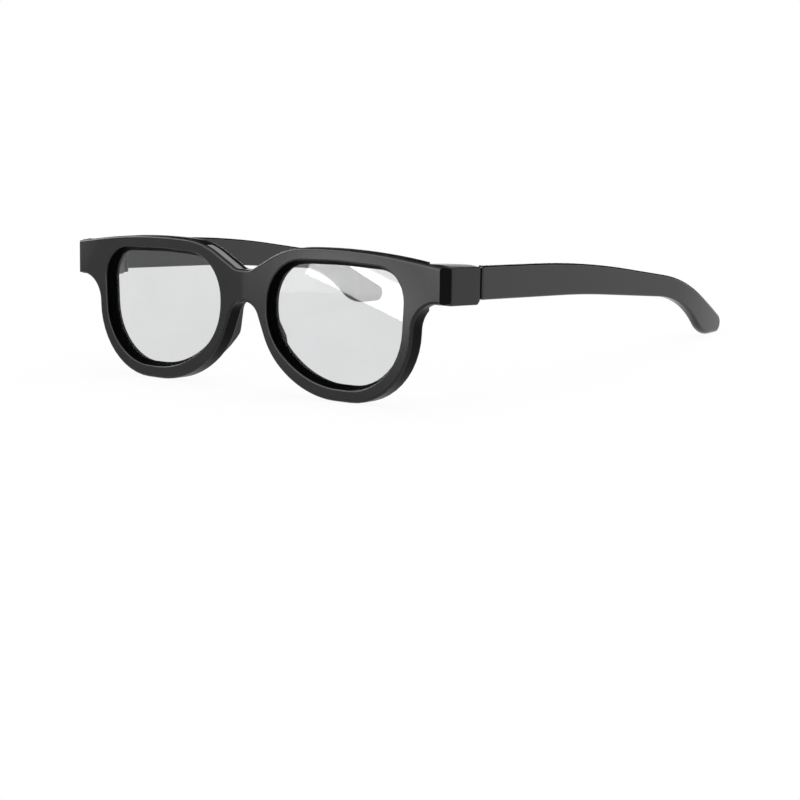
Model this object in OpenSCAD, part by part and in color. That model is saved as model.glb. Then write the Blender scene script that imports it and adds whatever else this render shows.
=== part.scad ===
// Passive 3-D viewing glasses: one moulded front, two laminated film lenses,
// closing strips, nose pads, hinge blocks, hinge pins and folding temples.
// Millimetres. +X is the wearer's left, +Y runs back along the temples, +Z is up.
// Origin: the nose seat, on the mid plane under the bridge, half way through the front.

/* [Front] */
// Overall width across the two hinge blocks
front_w = 151; // [143:1:160]
// Depth of the front moulding, front face to rear face
frame_t = 5.3; // [4.8:0.1:6.5]
// Angle by which each half of the front is swept back
face_sweep = 1.4; // [0:0.2:4]
// Rounded bevel round the outer edge of the front
edge_bevel = 0.8; // [0.4:0.1:1]
// Front face of the rim above the opening
rim_top = 2.8; // [2:0.1:4]
// Front face of the rim below the opening
rim_bottom = 2.8; // [2:0.1:4]
// Front face of the rim on the temple side
rim_side = 1.9; // [1.6:0.1:3]
// Height of the end piece that carries the hinge block
end_h = 8.6; // [7.8:0.1:10]
// Top of the end piece above the middle of the lens
end_top = 17.9; // [17:0.1:20]
// Thickness of the end piece in front of the hinge block
end_plate_t = 2.8; // [2.2:0.1:3.4]
// Width of the slanted corner facet at each end of the front face
corner_facet = 2; // [1:0.1:3]
// Chamfer round the rear edge of the front
rear_bevel = 0.4; // [0.2:0.1:0.6]
// Rise of the rim's top at its crown
rim_crown = 0.5; // [0.2:0.1:0.8]
// Fall of the rim's top at the shoulder beside the bridge
shoulder_fall = 0.8; // [0.4:0.1:1.2]
// Distance of the shoulder from the nose side of the opening
shoulder_in = 7.8; // [6:0.2:9]
// Taper of the rim's temple side, end piece to bottom
rim_taper = 0.7; // [0:0.1:1.2]
// Place of the rim's crown across the opening, as a share of its width
crown_at = 0.67; // [0.5:0.01:0.8]
// Outer radius of the rim's crown
crown_r = 220; // [150:10:300]
// Outer radius of the shoulder beside the bridge
shoulder_r = 30; // [20:1:40]
// Radius of the corners of the end piece
end_corner_r = 0.4; // [0.2:0.1:0.6]
// Radius of the fillet under the end piece
end_fillet_r = 9.5; // [5:0.5:10.5]
// Outer radius of the rim's lower corner on the temple side
rim_side_r = 22; // [16:1:26]
// Outer radius of the rim's lower corner on the nose side
rim_nose_r = 35; // [24:1:40]

/* [Lens openings] */
// Width of one opening at the front face
lens_w = 52; // [48:0.5:53]
// Height of one opening at the front face
lens_h = 37.4; // [34:0.2:41]
// Space between the two openings at the nose
lens_gap = 18.8; // [17:0.2:22]
// Fall of the top edge from its middle to its corners
top_fall = 0.9; // [0.3:0.1:1.5]
// Lean of the temple side edge, top to bottom
side_lean = 1.8; // [0.5:0.1:3]
// Length of the slanted nose corner along the bottom edge
nose_cut_w = 15.8; // [12:0.2:18]
// Length of the slanted nose corner up the nose side
nose_cut_h = 13.7; // [11:0.2:16]
// Corner radius, top on the nose side
r_top_nose = 14; // [8:0.5:15]
// Corner radius, top on the temple side
r_top_side = 10; // [5:0.5:12]
// Corner radius, bottom on the temple side
r_bottom_side = 19.5; // [14:0.5:21]
// Corner radius, bottom on the nose side
r_bottom_nose = 34; // [20:1:38]
// Corner radius half way up the nose side
r_nose_side = 19; // [12:0.5:22]
// Radius of the crowned top edge
r_top_crown = 120; // [80:5:200]
// Inward slope of the opening, front face to lens
funnel = 1.3; // [0.8:0.1:1.6]
// Outward slope of the opening, lens to rear face
rear_flare = 0.5; // [0.2:0.1:0.8]
// Depth of the lens groove behind the front face
lens_set = 2.4; // [1.8:0.1:2.8]

/* [Bridge and nose] */
// Height of the nose arch above the middle of the lens
arch_rise = 5.1; // [2:0.1:7]
// Distance from the lens opening in to the corner of the arch
arch_inset = 4.7; // [3.5:0.1:6]
// Height of the bridge at the mid plane
bridge_h = 8; // [6:0.1:10]
// Half width of the level part of the bridge's top
bridge_flat = 3; // [1.5:0.1:4]
// Radius of the valley between the bridge and the slope beside it
valley_r = 6; // [4:0.5:8]
// Radius of the corner of the nose arch
arch_r = 6.5; // [4:0.5:8]
// Distance of the foot of the nose flank from the nose side of the opening
flank_in = 1.6; // [0.5:0.1:3]
// Height of the foot of the nose flank above the bottom of the opening
flank_up = 8.4; // [6:0.2:10]
// Radius at the foot of the nose flank
flank_r = 25; // [15:1:30]
// How far a nose pad stands behind the front moulding
pad_reach = 3.9; // [2.5:0.1:5]
// Thickness of a nose pad
pad_t = 1.9; // [1.4:0.1:2.4]
// Radius of the two pegs on a nose pad
pad_peg_r = 0.6; // [0.4:0.05:0.7]
// Length of the two pegs on a nose pad
pad_peg_l = 1.4; // [0.8:0.1:1.7]
// Distance of the upper peg from the corner of the nose arch
pad_peg_at = 5.4; // [4.5:0.1:6]
// Spacing of the two pegs
pad_peg_gap = 4.2; // [3:0.1:4.5]
// Gap between the top of a nose pad and the nose arch
pad_top = 1.2; // [0.6:0.1:2]
// Height of the foot of a nose pad above the bottom of the opening
pad_foot = 4.5; // [3:0.1:6]
// Height of the widest point of a nose pad above the bottom of the opening
pad_belly = 12.4; // [10:0.2:14]
// Radius of the pad's outline at its widest point
pad_belly_r = 1.6; // [1:0.1:2.4]
// Reach of the pad's waist, as a share of its full reach
pad_waist = 0.55; // [0.45:0.05:0.7]
// Radius of the pad's outline at its waist
pad_waist_r = 4; // [2:0.5:6]
// Reach of the pad's top, as a share of its full reach
pad_neck = 0.3; // [0.2:0.05:0.4]
// Radius of the pad's outline at its top
pad_neck_r = 1; // [0.6:0.1:1.4]

/* [Films and strips] */
// Thickness of the quarter-wave film, the front ply of a lens
retarder_t = 0.38; // [0.2:0.02:0.4]
// Thickness of the polarising film, the rear ply of a lens
polariser_t = 0.38; // [0.2:0.02:0.4]
// Overlap of the lens behind the edge of its window
film_lap = 1.1; // [0.6:0.1:1.2]
// Width of the closing strip, front to back
strip_w = 2.9; // [2:0.1:3.2]
// Thickness of the closing strip
strip_t = 0.85; // [0.5:0.05:1.1]
// Distance of the lower end of the channel from the mid plane
strip_start = 2.2; // [1.5:0.1:3]
// Distance of the upper end of the strip from the mid plane
strip_end = 16.8; // [14:0.2:20]
// Length of channel left open at the lower end of the strip
strip_notch = 0.8; // [0.2:0.1:1.2]
// Front lip of the channel that holds the strip and runs on along the top of the rim
channel_lip = 1; // [0.9:0.05:1.2]
// Wall left beyond the outer end of the channel
channel_wall = 1; // [0.8:0.1:2]
// Depth of the strip's face below the edge of its channel
strip_sink = 0.25; // [0.1:0.05:0.5]

/* [Hinges] */
// Length of the hinge block behind the end piece
block_l = 13.4; // [12:0.1:15]
// Width of the hinge block, outer face to inner face
block_w = 9.5; // [8.5:0.1:10.5]
// Fall of the hinge block's top towards the temple
block_fall = 0.6; // [0.2:0.1:1]
// Fall of the hinge block's underside towards the temple
block_under = 0.4; // [0.2:0.1:0.8]
// Rise of the hinge block's top, outer edge to crown
block_crown = 0.5; // [0.2:0.1:1]
// Width of the slope from the outer edge to the crown
block_slope_w = 3.4; // [2:0.1:4]
// Step of the hinge block above the end piece
block_rise = 1; // [0.5:0.1:1.4]
// Step of the hinge block below the end piece
block_drop = 1.3; // [0.8:0.1:1.6]
// Chamfer on the rear lower corner of the hinge block
block_chamfer = 1; // [0.5:0.1:1.5]
// Share of the hinge block's length that keeps its full width
block_full = 0.55; // [0.4:0.05:0.6]
// Gap between hinge block and temple, seen from outside
hinge_gap = 1; // [0.9:0.1:1.4]
// Radius of the hinge knuckles
knuckle_r = 2.2; // [1.8:0.1:2.4]
// Height of the temple's middle knuckle
knuckle_h = 3.6; // [3:0.1:4.4]
// Distance of the hinge axis inside the temple's inner face
hinge_in = 1; // [0.8:0.1:1.2]
// Step of the upper knuckle below the top of the block
knuckle_step = 1; // [0.8:0.1:1.4]
// Radius of the hinge pin
pin_r = 0.8; // [0.6:0.05:1]
// Radius of the pin's head
pin_head_r = 1.25; // [1.1:0.05:1.4]
// Thickness of the pin's head
pin_head_t = 0.75; // [0.5:0.05:0.9]
// Cover left over the blind end of the pin's bore
pin_cover = 2.1; // [1.8:0.1:2.6]
// Width of the stops on the temple's end
heel_w = 0.7; // [0.5:0.05:0.9]
// Height of each stop
heel_h = 1.8; // [1.4:0.1:2.2]
// Distance of each stop from the edge of the temple
heel_in = 1.2; // [0.8:0.1:1.6]

/* [Temples] */
// Length of a temple, hinge axis to tip
temple_l = 138; // [125:1:150]
// Height of a temple at the hinge
temple_h = 9.8; // [9:0.1:11]
// Step of a temple's upper edge above the end piece
temple_rise = 0.8; // [0.4:0.1:1.2]
// Thickness of a temple
temple_t = 3; // [2.4:0.1:3.6]
// Angle by which the open temples spread apart
temple_splay = 1; // [0:0.2:3]
// Distance of the ear bend from the hinge axis
ear_bend = 108; // [95:1:115]
// How far the bend of the lower edge lies ahead of the upper one
bend_lead = 1; // [0:0.5:5]
// Fall of the upper edge at the ear bend
bend_top_fall = 9.5; // [7:0.1:10]
// Fall of the lower edge at the ear bend
bend_low_fall = 5.8; // [4:0.1:7]
// Radius of the ear bend
bend_r = 76; // [55:1:90]
// Distance from the middle of the straight part to the ear bend
bow_reach = 57; // [45:1:65]
// Fall of both edges at the middle of the straight part
bow_fall = 1.3; // [0.8:0.1:2]
// Radius of the slight bow at the middle of the straight part
bow_r = 400; // [300:20:600]
// Drop of the tip below the upper edge at the hinge
ear_drop = 25.4; // [18:0.2:28]
// Length of the paddle's lower edge
paddle_l = 17.4; // [14:0.2:20]
// Height of the paddle's lower edge below the tip
paddle_low = 3.6; // [3:0.1:5]
// Height of the paddle's upper corner above the tip
paddle_high = 0.2; // [0:0.1:1]
// Slope of the paddle's end
paddle_slope = 4.6; // [3:0.1:6]
// Radius where the lower edge runs into the paddle
paddle_heel_r = 27; // [18:1:34]
// Radius of the paddle's corners
paddle_r = 4.5; // [3:0.1:5]
// Radius of the corners at the hinge end
temple_corner_r = 0.4; // [0.2:0.1:0.6]
// Radius of the inward curve of the tip
tip_curl_r = 185; // [120:5:250]
// Distance by which the inward curve begins before the ear bend
curl_lead = 7; // [4:0.5:10]

/* [Clearances] */
// Running clearance of the temple's knuckle round the pin
pin_clear = 0.05;
// Fit of the pin in the hinge block
pin_fit = 0.01;
// Space between knuckles, along the pin
knuckle_clear = 0.2;
// Space round a turning knuckle
swing_clear = 0.35;
// Space left between the temple's stop and the block
stop_clear = 0.05;
// Fit of the parts that are set into the front
seat_clear = 0.05;

/* [Hidden] */
$fn = 48;
eps = 0.01;
far = 100;
arc_n = 8;
curl_n = 12;
mid_over = 3;
cut_over = 1;
// Middle of the rounded bevel, as shares of its depth and its width
bevel_mid = [0.3, 0.7];
// Shares by which a bevel's and a slope's cutter run on past their ends
bevel_over = 0.5;
slope_over = 0.1;

half_w = front_w / 2;
x_in = lens_gap / 2;
x_out = x_in + lens_w;
z_top = lens_h / 2;
z_bot = -lens_h / 2;
end_low = end_top - end_h;
groove_t = retarder_t + polariser_t + 3 * seat_clear;
groove_end = lens_set + groove_t;
channel_depth = strip_sink + strip_t + seat_clear;
channel_end = half_w - corner_facet - channel_wall;
lens_y = lens_set + seat_clear;
block_y = half_w * sin(face_sweep) + end_plate_t;
block_end = block_y + block_l;
block_low = end_low - block_drop;
block_top = end_top + block_rise;
axis_y = block_end + hinge_gap / 2;
axis_x = half_w - temple_t - hinge_in;
knuckle_z = end_top - end_h / 2;

// Rounded outline: corner points, each with its own radius [x, y, r]

function pt(v) = [v[0], v[1]];
function turn(P, i) = let(n = len(P), b = pt(P[i]),
  u = pt(P[(i + n - 1) % n]) - b, w = pt(P[(i + 1) % n]) - b)
  acos(max(-1, min(1, u * w / (norm(u) * norm(w)))));
function reach(P, i) = let(k = (i + len(P)) % len(P)) P[k][2] / tan(turn(P, k) / 2);
function edge(P, i) = let(n = len(P)) norm(pt(P[(i + 1) % n]) - pt(P[(i + n) % n]));
function held(P, i) = let(t = reach(P, i))
  t * min(1, 0.98 * edge(P, i - 1) / max(eps, t + reach(P, i - 1)),
    0.98 * edge(P, i) / max(eps, t + reach(P, i + 1)));
function corner(P, i) = let(n = len(P), b = pt(P[i]), t = held(P, i), a = turn(P, i),
  u = pt(P[(i + n - 1) % n]) - b, w = pt(P[(i + 1) % n]) - b,
  uu = u / norm(u), ww = w / norm(w), r = t * tan(a / 2),
  bis = (uu + ww) / max(1e-9, norm(uu + ww)), c = b + bis * r / sin(a / 2),
  p0 = b + uu * t - c, p1 = b + ww * t - c,
  a0 = atan2(p0[1], p0[0]), da = ((atan2(p1[1], p1[0]) - a0 + 900) % 360) - 180)
  P[i][2] <= 0 ? [b] : [for (k = [0:arc_n]) c + r * [cos(a0 + da * k / arc_n), sin(a0 + da * k / arc_n)]];
function rounded(P) = [for (i = [0:len(P) - 1]) each corner(P, i)];

// An outline moved outwards by d along its own normals

function side(a, b) = let(d = b - a) [d[1], -d[0]] / norm(d);
function grow(p, d) = let(n = len(p)) [for (i = [0:n - 1])
  let(a = side(p[(i + n - 1) % n], p[i]), b = side(p[i], p[(i + 1) % n]))
  p[i] + d * (a + b) / (1 + a * b)];

// The opening at the front face, and the front face itself, for the half at +X

opening = rounded([
  [x_in + nose_cut_w, z_bot, r_bottom_nose],
  [x_out - side_lean, z_bot, r_bottom_side],
  [x_out, z_top - top_fall, r_top_side],
  [x_in + lens_w / 2, z_top, r_top_crown],
  [x_in, z_top - top_fall, r_top_nose],
  [x_in, z_bot + nose_cut_h, r_nose_side]]);

bridge_top = arch_rise + bridge_h;
arch_corner = [x_in - arch_inset, arch_rise];
flank_foot = [x_in + flank_in, z_bot + flank_up];
face = rounded([
  [-mid_over, arch_rise, 0],
  [arch_corner[0], arch_corner[1], arch_r],
  [flank_foot[0], flank_foot[1], flank_r],
  [x_in + nose_cut_w - rim_taper, z_bot - rim_bottom, rim_nose_r],
  [x_out + rim_side - rim_taper, z_bot - rim_bottom, rim_side_r],
  [x_out + rim_side, end_low, end_fillet_r],
  [half_w - edge_bevel, end_low, end_corner_r],
  [half_w - edge_bevel, end_top, end_corner_r],
  [x_in + lens_w * crown_at, z_top + rim_top + rim_crown, crown_r],
  [x_in + shoulder_in, z_top + rim_top - shoulder_fall, shoulder_r],
  [bridge_flat, bridge_top, valley_r],
  [-mid_over, bridge_top, 0]]);

body = grow(face, edge_bevel);
window = grow(opening, -funnel);
film = grow(window, film_lap);
groove = grow(film, 2 * seat_clear);
groove_x0 = min([for (p = groove) p[0]]);
groove_x1 = max([for (p = groove) p[0]]);

// A closed ring that follows an outline; each profile point is [depth, growth of the outline]

module ring(outline, profile) {
  n = len(outline);
  m = len(profile);
  points = [for (q = profile) each [for (p = grow(outline, q[1])) [p[0], q[0], p[1]]]];
  polyhedron(points, [for (k = [0:m - 1]) let(l = (k + 1) % m) each
    [for (i = [0:n - 1]) let(j = (i + 1) % n)
      [k * n + i, k * n + j, l * n + j, l * n + i]]]);
}

// The point on the line from a to b at share k of its length

function along(a, b, k) = a + (b - a) * k;

// An outline drawn in X and Z, raised from depth y0 to depth y1

module slab(y0, y1) {
  translate([0, y1, 0])
    rotate([90, 0, 0])
      linear_extrude(height = y1 - y0) children();
}

// Places a half of the front, swept back from the mid plane

module swept() {
  translate([0, -frame_t / 2, -arch_rise])
    rotate([0, 0, face_sweep]) children();
}

// Places what is square to the wearer: blocks, pins, temples

module squared() {
  translate([0, -frame_t / 2, -arch_rise]) children();
}

// The half at -X is the mirror image of the half at +X

module other_side() {
  mirror([1, 0, 0]) children();
}

// Band of the outline that lies on the slope beside the bridge and along the top

module top_band(outer, inner, x0, x1) {
  intersection() {
    difference() {
      polygon(grow(face, outer));
      polygon(grow(face, inner));
    }
    translate([x0, bridge_top - mid_over])
      square([x1 - x0, far]);
  }
}

// Cutters of the front: bevel and chamfer round the outside, slopes of the opening

module front_bevel() {
  start = [0, 0];
  mid = edge_bevel * bevel_mid;
  end = edge_bevel * [1, 1];
  first = along(start, mid, -bevel_over);
  last = along(mid, end, 1 + bevel_over);
  ring(face, [[first[0], 2 * edge_bevel], [last[0], 2 * edge_bevel], last, mid, first]);
}

module rear_chamfer() {
  start = [frame_t, edge_bevel - rear_bevel];
  end = [frame_t - rear_bevel, edge_bevel];
  first = along(start, end, -bevel_over);
  last = along(start, end, 1 + bevel_over);
  ring(face, [[last[0], 2 * edge_bevel], [first[0], 2 * edge_bevel], first, last]);
}

module slope(start, end) {
  first = along(start, end, -slope_over);
  last = along(start, end, 1 + slope_over);
  ring(opening, [first, last, [last[0], -2 * funnel], [first[0], -2 * funnel]]);
}

// One half of the front moulding, without its rebate for the hinge block

module half_front() {
  difference() {
    slab(0, frame_t)
      polygon(body);
    front_bevel();
    rear_chamfer();
    slab(-cut_over, frame_t + cut_over)
      polygon(window);
    slope([0, 0], [lens_set, -funnel]);
    slope([groove_end, -funnel], [frame_t, rear_flare - funnel]);
    slab(lens_set, groove_end) {
      polygon(groove);
      translate([groove_x0, 0])
        square([groove_x1 - groove_x0, far]);
    }
    slab(channel_lip - seat_clear, channel_lip + strip_w + seat_clear)
      top_band(edge_bevel + cut_over, edge_bevel - channel_depth, strip_start, channel_end);
    pegs(pad_peg_r + seat_clear, pad_peg_l + 4 * seat_clear);
  }
}

// The two pegs of a nose pad, or their holes, along the flank below the arch corner

module pegs(r, l) {
  d = (flank_foot - arch_corner) / norm(flank_foot - arch_corner);
  for (s = [pad_peg_at, pad_peg_at + pad_peg_gap]) {
    p = arch_corner + d * s + [-d[1], d[0]] * (pad_t / 2 - edge_bevel / 2);
    translate([p[0], frame_t - l, p[1]])
      rotate([-90, 0, 0])
        cylinder(r = r, h = l + eps, $fn = 24);
  }
}

module half_trimmed() {
  difference() {
    swept() half_front();
    squared() {
      translate([-far, -far / 2, -far / 2])
        cube(far);
      translate([half_w - block_w - seat_clear, block_y, -mid_over])
        cube(far);
      translate([half_w - corner_facet, half_w * sin(face_sweep), -mid_over])
        rotate([0, 0, atan2(end_plate_t, corner_facet)])
          translate([-corner_facet, -far, 0])
            cube(far);
      translate([half_w, -far / 2, -mid_over])
        cube(far);
    }
  }
}

module front_frame() {
  color([0.09, 0.09, 0.1])
    union() {
      half_trimmed();
      other_side() half_trimmed();
    }
}

// Lens plies: the quarter-wave film faces the screen, the polariser faces the eye

module ply(y0, t) {
  swept()
    slab(y0, y0 + t)
      polygon(film);
}

module left_quarter_wave_film() {
  color([0.75, 0.8, 0.8, 0.4]) ply(lens_y, retarder_t);
}

module right_quarter_wave_film() {
  color([0.75, 0.8, 0.8, 0.4]) other_side() ply(lens_y, retarder_t);
}

module left_polariser_film() {
  color([0.55, 0.58, 0.6, 0.5]) ply(lens_y + retarder_t + seat_clear, polariser_t);
}

module right_polariser_film() {
  color([0.55, 0.58, 0.6, 0.5]) other_side() ply(lens_y + retarder_t + seat_clear, polariser_t);
}

// Strip that closes the lens slot on the slope beside the bridge

module strip() {
  swept()
    slab(channel_lip, channel_lip + strip_w)
      top_band(edge_bevel - strip_sink, edge_bevel - strip_sink - strip_t,
        strip_start + strip_notch, strip_end);
}

module left_closing_strip() {
  color([0.35, 0.35, 0.36]) strip();
}

module right_closing_strip() {
  color([0.35, 0.35, 0.36]) other_side() strip();
}

// Nose pad: a fin that follows the nose side of the rim, cut to a leaf in side view

module pad() {
  leaf = rounded([
    [frame_t - cut_over, arch_rise - pad_top, 0],
    [frame_t - cut_over, z_bot + pad_foot, 0],
    [frame_t, z_bot + pad_foot, 0],
    [frame_t + pad_reach, z_bot + pad_belly, pad_belly_r],
    [frame_t + pad_reach * pad_waist, arch_rise - 3 * pad_top, pad_waist_r],
    [frame_t + pad_reach * pad_neck, arch_rise - pad_top, pad_neck_r]]);
  swept()
    union() {
      intersection() {
        slab(frame_t, frame_t + pad_reach + cut_over)
          difference() {
            polygon(grow(face, edge_bevel / 2));
            polygon(grow(face, edge_bevel / 2 - pad_t));
          }
        translate([bridge_flat, 0, 0])
          rotate([90, 0, 90])
            linear_extrude(height = 2 * x_in) polygon(leaf);
      }
      pegs(pad_peg_r, pad_peg_l);
    }
}

module left_nose_pad() {
  color([0.12, 0.12, 0.13]) pad();
}

module right_nose_pad() {
  color([0.12, 0.12, 0.13]) other_side() pad();
}

// A cylinder on the hinge axis

module hinge_axis(z0, z1, r) {
  translate([axis_x, axis_y, z0])
    cylinder(r = r, h = z1 - z0);
}

// Everything under the sloped top of a hinge block

module block_roof() {
  translate([half_w, block_y, block_top])
    rotate([-atan2(block_fall, block_l), 0, 0])
      slab(-cut_over, block_l + cut_over)
        polygon([[-far, block_crown], [-far, -far], [cut_over, -far],
          [cut_over, -block_crown * cut_over / block_slope_w], [-block_slope_w, block_crown]]);
}

// Hinge block with its two outer knuckles

module block() {
  front = block_y + seat_clear;
  inner = half_w - block_w;
  squared()
    difference() {
      union() {
        intersection() {
          translate([inner, 0, 0])
            rotate([90, 0, 90])
              linear_extrude(height = block_w)
                polygon([[front, block_low],
                  [block_end - block_chamfer, block_low - block_under],
                  [block_end, block_low - block_under + block_chamfer],
                  [block_end, block_top - block_fall + block_crown],
                  [front, block_top + block_crown]]);
          translate([0, 0, -far / 2])
            linear_extrude(height = far)
              polygon([[inner, block_y], [half_w, block_y], [half_w, block_end],
                [axis_x - knuckle_r, block_end], [inner, block_y + block_l * block_full]]);
          block_roof();
        }
        hinge_axis(block_low, block_top - knuckle_step, knuckle_r);
      }
      hinge_axis(knuckle_z - knuckle_h / 2 - knuckle_clear, knuckle_z + knuckle_h / 2 + knuckle_clear,
        knuckle_r + swing_clear);
      hinge_axis(block_low - cut_over, block_top - pin_cover, pin_r + pin_fit);
      hinge_axis(block_low - cut_over, block_low + pin_head_t + seat_clear, pin_head_r + seat_clear);
    }
}

module left_hinge_block() {
  color([0.1, 0.1, 0.11]) block();
}

module right_hinge_block() {
  color([0.1, 0.1, 0.11]) other_side() block();
}

// Hinge pin with a flat head, pushed in from below

module pin() {
  squared()
    union() {
      hinge_axis(block_low, block_top - pin_cover - 2 * seat_clear, pin_r);
      hinge_axis(block_low, block_low + pin_head_t, pin_head_r);
    }
}

module left_hinge_pin() {
  color([0.7, 0.7, 0.72]) pin();
}

module right_hinge_pin() {
  color([0.7, 0.7, 0.72]) other_side() pin();
}

// Temple, drawn from the hinge axis: side view (length, height) and plan (thickness, length)

module temple() {
  z1 = end_top + temple_rise;
  z0 = z1 - temple_h;
  y0 = hinge_gap / 2;
  tip_z = z1 - ear_drop;
  outer = half_w - axis_x;
  inner = outer - temple_t;
  curl_y = ear_bend - curl_lead;
  curl_x = outer - tip_curl_r;
  knuckle_low = knuckle_z - knuckle_h / 2;
  relief_r = knuckle_r + swing_clear;
  side_view = rounded([
    [y0, z0, temple_corner_r],
    [ear_bend - bow_reach, z0 - bow_fall, bow_r],
    [ear_bend - bend_lead, z0 - bend_low_fall, bend_r],
    [temple_l - paddle_l, tip_z - paddle_low, paddle_heel_r],
    [temple_l - paddle_slope, tip_z - paddle_low, paddle_r],
    [temple_l, tip_z + paddle_high, paddle_r],
    [ear_bend, z1 - bend_top_fall, bend_r],
    [ear_bend - bow_reach, z1 - bow_fall, bow_r],
    [y0 + seat_clear, z1, temple_corner_r]]);
  curl_end = asin(min(0.9, (temple_l + cut_over - curl_y) / (tip_curl_r - temple_t)));
  curl = [for (i = [0:curl_n]) curl_end * i / curl_n];
  plan = concat([[inner, y0 - cut_over], [outer, y0 - cut_over]],
    [for (a = curl) [curl_x + tip_curl_r * cos(a), curl_y + tip_curl_r * sin(a)]],
    [for (i = [len(curl) - 1:-1:0]) let(a = curl[i], r = tip_curl_r - temple_t)
      [curl_x + r * cos(a), curl_y + r * sin(a)]]);
  squared()
    translate([axis_x, axis_y, 0])
      rotate([0, 0, -temple_splay])
        difference() {
          union() {
            intersection() {
              translate([-far / 2, 0, 0])
                rotate([90, 0, 90])
                  linear_extrude(height = far) polygon(side_view);
              translate([0, 0, -far / 2])
                linear_extrude(height = far) polygon(plan);
            }
            translate([0, 0, knuckle_low])
              cylinder(r = knuckle_r, h = knuckle_h);
            translate([0, 0, knuckle_low])
              cube([inner + temple_t / 6, knuckle_r + temple_t / 2, knuckle_h]);
            for (z = [z0 + heel_in, z1 - heel_in - heel_h])
              translate([relief_r + seat_clear, stop_clear - hinge_gap / 2, z])
                cube([heel_w, hinge_gap + heel_w, heel_h]);
          }
          translate([0, 0, -far / 2])
            cylinder(r = relief_r, h = knuckle_low + far / 2);
          translate([0, 0, knuckle_low + knuckle_h])
            cylinder(r = relief_r, h = far);
          translate([0, 0, -far / 2])
            cylinder(r = pin_r + pin_clear, h = far);
        }
}

module left_temple() {
  color([0.1, 0.1, 0.11]) temple();
}

module right_temple() {
  color([0.1, 0.1, 0.11]) other_side() temple();
}

front_frame();
left_quarter_wave_film();
right_quarter_wave_film();
left_polariser_film();
right_polariser_film();
left_closing_strip();
right_closing_strip();
left_nose_pad();
right_nose_pad();
left_hinge_block();
right_hinge_block();
left_hinge_pin();
right_hinge_pin();
left_temple();
right_temple();
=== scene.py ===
import bmesh
import bpy
import math
from mathutils import Matrix, Vector


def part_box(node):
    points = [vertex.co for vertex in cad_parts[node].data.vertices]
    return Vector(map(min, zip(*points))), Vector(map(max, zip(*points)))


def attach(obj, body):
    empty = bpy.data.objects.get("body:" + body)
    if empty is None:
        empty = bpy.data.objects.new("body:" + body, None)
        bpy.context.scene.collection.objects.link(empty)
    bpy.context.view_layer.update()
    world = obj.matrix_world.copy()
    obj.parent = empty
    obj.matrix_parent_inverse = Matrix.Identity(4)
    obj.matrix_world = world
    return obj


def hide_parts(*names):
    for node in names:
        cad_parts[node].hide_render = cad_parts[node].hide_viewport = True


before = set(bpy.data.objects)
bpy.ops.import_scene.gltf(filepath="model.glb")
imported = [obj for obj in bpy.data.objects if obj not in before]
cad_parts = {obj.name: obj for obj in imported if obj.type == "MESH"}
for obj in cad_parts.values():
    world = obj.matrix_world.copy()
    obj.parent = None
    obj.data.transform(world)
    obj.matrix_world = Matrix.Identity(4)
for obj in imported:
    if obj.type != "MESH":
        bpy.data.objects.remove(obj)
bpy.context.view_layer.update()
mm = 0.001
weld = 1e-5  # millimetres; points nearer than this are one point
roundBevel = 0.5  # a bevel's profile when its section is an arc


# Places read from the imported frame, in millimetres

def boxMm(node):
    low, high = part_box(node)
    return Vector(low) / mm, Vector(high) / mm


frontLow, _ = boxMm("front_frame")
filmLow, filmHigh = boxMm("left_polariser_film")
blockLow, blockHigh = boxMm("left_hinge_block")
pinLow, pinHigh = boxMm("left_hinge_pin")
halfWidth = blockHigh.x
frontDepth = -2 * frontLow.y
lensMid = (filmLow.z + filmHigh.z) / 2
hingeX = (pinLow.x + pinHigh.x) / 2
hingeY = (pinLow.y + pinHigh.y) / 2


# Outlines: corners (across, up, radius) become arcs, as in the part's source

def roundedOutline(corners, steps=12, fit=0.98):
    points = [Vector(c[:2]) for c in corners]
    count = len(points)
    turn = []
    reach = []
    for i in range(count):
        back = (points[i - 1] - points[i]).normalized()
        ahead = (points[(i + 1) % count] - points[i]).normalized()
        angle = math.acos(max(-1, min(1, back.dot(ahead))))
        turn.append(angle)
        reach.append(corners[i][2] / math.tan(angle / 2))
    outline = []
    for i in range(count):
        if corners[i][2] <= 0:
            outline.append(points[i])
            continue
        before = (points[i - 1] - points[i]).length
        after = (points[(i + 1) % count] - points[i]).length
        share = min(1, fit * before / (reach[i] + reach[i - 1]),
                    fit * after / (reach[i] + reach[(i + 1) % count]))
        length = reach[i] * share
        back = (points[i - 1] - points[i]).normalized()
        ahead = (points[(i + 1) % count] - points[i]).normalized()
        radius = length * math.tan(turn[i] / 2)
        centre = points[i] + (back + ahead).normalized() * radius / math.sin(turn[i] / 2)
        first = points[i] + back * length - centre
        last = points[i] + ahead * length - centre
        a0 = math.atan2(first.y, first.x)
        sweep = (math.atan2(last.y, last.x) - a0 + 3 * math.pi) % (2 * math.pi) - math.pi
        for k in range(steps + 1):
            a = a0 + sweep * k / steps
            outline.append(centre + radius * Vector((math.cos(a), math.sin(a))))
    return outline


def growOutline(points, distance):
    count = len(points)
    grown = []
    for i in range(count):
        into = points[i] - points[i - 1]
        out = points[(i + 1) % count] - points[i]
        a = Vector((into.y, -into.x)).normalized()
        b = Vector((out.y, -out.x)).normalized()
        grown.append(points[i] + (a + b) * distance / (1 + a.dot(b)))
    return grown


# Mesh helpers; rings are lists of vertices with equal counts

def addRing(bm, points):
    return [bm.verts.new(p) for p in points]


def joinRings(bm, rings, closed=False, materialChoice=0):
    count = len(rings[0])
    pairs = list(zip(rings, rings[1:]))
    if closed:
        pairs.append((rings[-1], rings[0]))
    for a, b in pairs:
        for i in range(count):
            j = (i + 1) % count
            bm.faces.new((a[i], a[j], b[j], b[i])).material_index = materialChoice


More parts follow.
